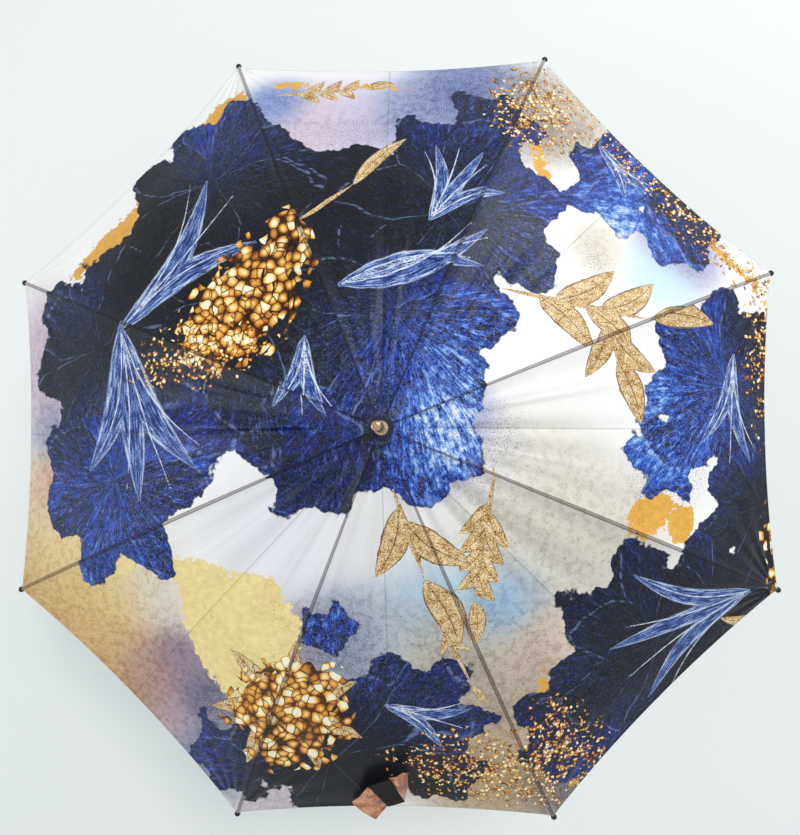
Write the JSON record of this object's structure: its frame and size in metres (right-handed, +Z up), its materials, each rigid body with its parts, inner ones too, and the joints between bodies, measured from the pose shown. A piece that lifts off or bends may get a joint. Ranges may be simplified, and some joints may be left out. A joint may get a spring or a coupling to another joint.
{
  "type": "stick umbrella",
  "caption": "Manual stick umbrella with a printed satin cover on steel ribs, a sliding runner, a post ferrule and a crook handle.",
  "frame": {"origin": "on the shaft's axis at the middle of the handle's straight grip", "axes": "+Z up the shaft towards the ferrule, +X the side that the crook bends to; a rib stands every 45 degrees from 22.5 degrees"},
  "size_m": [1.0008, 1.0008, 0.8432],
  "materials": {
    "canopy_cloth": "printed satin pongee",
    "rosette_cloth": "pleated printed satin",
    "strap_satin": "copper satin",
    "strap_patch_cloth": "black hook-and-loop tape",
    "frame_steel": "black coated steel channel",
    "tip_plastic": "black moulded plastic",
    "rivet_steel": "bright steel",
    "shaft_steel": "black coated steel tube",
    "plug_plastic": "moulded plug",
    "ferrule_metal": "polished pale gold plate",
    "hub_plastic": "black moulded nylon",
    "catch_steel": "spring steel",
    "handle_wood": "lacquered dark wood",
    "collar_brass": "polished brass"
  },
  "bodies": {
    "frame": {"shaft": "shaft_steel", "shaft_plug": "plug_plastic", "ferrule_stud": "rivet_steel", "ferrule": "ferrule_metal", "notch": "hub_plastic", "notch_wire": "rivet_steel", "inner_rosette": "rosette_cloth", "outer_rosette": "rosette_cloth", "runner_stop": "rivet_steel", "catch_pins": "rivet_steel", "handle": "handle_wood", "handle_collar": "collar_brass"},
    "runner": {"runner": "hub_plastic", "runner_wire": "rivet_steel"},
    "top_catch": {"top_catch": "catch_steel"},
    "bottom_catch": {"bottom_catch": "catch_steel"},
    "rib_1": {"rib_1": "frame_steel", "rib_tip_1": "tip_plastic", "joint_rivet_1": "rivet_steel", "canopy_panel_1": "canopy_cloth"},
    "stretcher_1": {"stretcher_1": "frame_steel"},
    "rib_2": {"rib_2": "frame_steel", "rib_tip_2": "tip_plastic", "joint_rivet_2": "rivet_steel", "canopy_panel_2": "canopy_cloth"},
    "stretcher_2": {"stretcher_2": "frame_steel"},
    "rib_3": {"rib_3": "frame_steel", "rib_tip_3": "tip_plastic", "joint_rivet_3": "rivet_steel", "canopy_panel_3": "canopy_cloth"},
    "stretcher_3": {"stretcher_3": "frame_steel"},
    "rib_4": {"rib_4": "frame_steel", "rib_tip_4": "tip_plastic", "joint_rivet_4": "rivet_steel", "canopy_panel_4": "canopy_cloth"},
    "stretcher_4": {"stretcher_4": "frame_steel"},
    "rib_5": {"rib_5": "frame_steel", "rib_tip_5": "tip_plastic", "joint_rivet_5": "rivet_steel", "canopy_panel_5": "canopy_cloth"},
    "stretcher_5": {"stretcher_5": "frame_steel"},
    "rib_6": {"rib_6": "frame_steel", "rib_tip_6": "tip_plastic", "joint_rivet_6": "rivet_steel", "canopy_panel_6": "canopy_cloth", "tie_strap": "strap_satin", "strap_patch": "strap_patch_cloth"},
    "stretcher_6": {"stretcher_6": "frame_steel"},
    "rib_7": {"rib_7": "frame_steel", "rib_tip_7": "tip_plastic", "joint_rivet_7": "rivet_steel", "canopy_panel_7": "canopy_cloth"},
    "stretcher_7": {"stretcher_7": "frame_steel"},
    "rib_8": {"rib_8": "frame_steel", "rib_tip_8": "tip_plastic", "joint_rivet_8": "rivet_steel", "canopy_panel_8": "canopy_cloth"},
    "stretcher_8": {"stretcher_8": "frame_steel"}
  },
  "joints": [
    {"name": "runner_slide", "type": "slide", "parent": "frame", "child": "runner", "axis": [0, 0, -1], "range_m": [0, 0.34325], "deforming": ["canopy_panel_1", "canopy_panel_2", "canopy_panel_3", "canopy_panel_4", "canopy_panel_5", "canopy_panel_6", "canopy_panel_7", "canopy_panel_8", "tie_strap", "strap_patch", "top_catch", "bottom_catch"]},
    {"name": "rib_1_fold", "type": "hinge", "parent": "frame", "child": "rib_1", "pos_m": [0.01016, 0.00421, 0.66], "axis": [-0.3827, 0.9239, 0], "range_deg": [0, 64.3]},
    {"name": "stretcher_1_fold", "type": "hinge", "parent": "rib_1", "child": "stretcher_1", "pos_m": [0.22997, 0.09526, 0.58451], "axis": [-0.3827, 0.9239, 0], "range_deg": [-128.6, 0]},
    {"name": "rib_2_fold", "type": "hinge", "parent": "frame", "child": "rib_2", "pos_m": [0.00421, 0.01016, 0.66], "axis": [-0.9239, 0.3827, 0], "range_deg": [0, 64.3]},
    {"name": "stretcher_2_fold", "type": "hinge", "parent": "rib_2", "child": "stretcher_2", "pos_m": [0.09526, 0.22997, 0.58451], "axis": [-0.9239, 0.3827, 0], "range_deg": [-128.6, 0]},
    {"name": "rib_3_fold", "type": "hinge", "parent": "frame", "child": "rib_3", "pos_m": [-0.00421, 0.01016, 0.66], "axis": [-0.9239, -0.3827, 0], "range_deg": [0, 64.3]},
    {"name": "stretcher_3_fold", "type": "hinge", "parent": "rib_3", "child": "stretcher_3", "pos_m": [-0.09526, 0.22997, 0.58451], "axis": [-0.9239, -0.3827, 0], "range_deg": [-128.6, 0]},
    {"name": "rib_4_fold", "type": "hinge", "parent": "frame", "child": "rib_4", "pos_m": [-0.01016, 0.00421, 0.66], "axis": [-0.3827, -0.9239, 0], "range_deg": [0, 64.3]},
    {"name": "stretcher_4_fold", "type": "hinge", "parent": "rib_4", "child": "stretcher_4", "pos_m": [-0.22997, 0.09526, 0.58451], "axis": [-0.3827, -0.9239, 0], "range_deg": [-128.6, 0]},
    {"name": "rib_5_fold", "type": "hinge", "parent": "frame", "child": "rib_5", "pos_m": [-0.01016, -0.00421, 0.66], "axis": [0.3827, -0.9239, 0], "range_deg": [0, 64.3]},
    {"name": "stretcher_5_fold", "type": "hinge", "parent": "rib_5", "child": "stretcher_5", "pos_m": [-0.22997, -0.09526, 0.58451], "axis": [0.3827, -0.9239, 0], "range_deg": [-128.6, 0]},
    {"name": "rib_6_fold", "type": "hinge", "parent": "frame", "child": "rib_6", "pos_m": [-0.00421, -0.01016, 0.66], "axis": [0.9239, -0.3827, 0], "range_deg": [0, 64.3]},
    {"name": "stretcher_6_fold", "type": "hinge", "parent": "rib_6", "child": "stretcher_6", "pos_m": [-0.09526, -0.22997, 0.58451], "axis": [0.9239, -0.3827, 0], "range_deg": [-128.6, 0]},
    {"name": "rib_7_fold", "type": "hinge", "parent": "frame", "child": "rib_7", "pos_m": [0.00421, -0.01016, 0.66], "axis": [0.9239, 0.3827, 0], "range_deg": [0, 64.3]},
    {"name": "stretcher_7_fold", "type": "hinge", "parent": "rib_7", "child": "stretcher_7", "pos_m": [0.09526, -0.22997, 0.58451], "axis": [0.9239, 0.3827, 0], "range_deg": [-128.6, 0]},
    {"name": "rib_8_fold", "type": "hinge", "parent": "frame", "child": "rib_8", "pos_m": [0.01016, -0.00421, 0.66], "axis": [0.3827, 0.9239, 0], "range_deg": [0, 64.3]},
    {"name": "stretcher_8_fold", "type": "hinge", "parent": "rib_8", "child": "stretcher_8", "pos_m": [0.22997, -0.09526, 0.58451], "axis": [0.3827, 0.9239, 0], "range_deg": [-128.6, 0]},
    {"name": "top_catch_press", "type": "hinge", "parent": "frame", "child": "top_catch", "pos_m": [-0.0026, 0, 0.42673], "axis": [0, 1, 0], "range_deg": [0, 7], "stiffness_Nm_per_rad": 0.35, "springref_deg": -8.59},
    {"name": "bottom_catch_press", "type": "hinge", "parent": "frame", "child": "bottom_catch", "pos_m": [-0.0026, 0, 0.14207], "axis": [0, -1, 0], "range_deg": [0, 7], "stiffness_Nm_per_rad": 0.35, "springref_deg": -8.59}
  ],
  "couplings": [
    {"joint": "rib_1_fold", "follows": "runner_slide", "rad_per_m": 3.2694},
    {"joint": "stretcher_1_fold", "follows": "runner_slide", "rad_per_m": -6.5389},
    {"joint": "rib_2_fold", "follows": "runner_slide", "rad_per_m": 3.2694},
    {"joint": "stretcher_2_fold", "follows": "runner_slide", "rad_per_m": -6.5389},
    {"joint": "rib_3_fold", "follows": "runner_slide", "rad_per_m": 3.2694},
    {"joint": "stretcher_3_fold", "follows": "runner_slide", "rad_per_m": -6.5389},
    {"joint": "rib_4_fold", "follows": "runner_slide", "rad_per_m": 3.2694},
    {"joint": "stretcher_4_fold", "follows": "runner_slide", "rad_per_m": -6.5389},
    {"joint": "rib_5_fold", "follows": "runner_slide", "rad_per_m": 3.2694},
    {"joint": "stretcher_5_fold", "follows": "runner_slide", "rad_per_m": -6.5389},
    {"joint": "rib_6_fold", "follows": "runner_slide", "rad_per_m": 3.2694},
    {"joint": "stretcher_6_fold", "follows": "runner_slide", "rad_per_m": -6.5389},
    {"joint": "rib_7_fold", "follows": "runner_slide", "rad_per_m": 3.2694},
    {"joint": "stretcher_7_fold", "follows": "runner_slide", "rad_per_m": -6.5389},
    {"joint": "rib_8_fold", "follows": "runner_slide", "rad_per_m": 3.2694},
    {"joint": "stretcher_8_fold", "follows": "runner_slide", "rad_per_m": -6.5389}
  ]
}
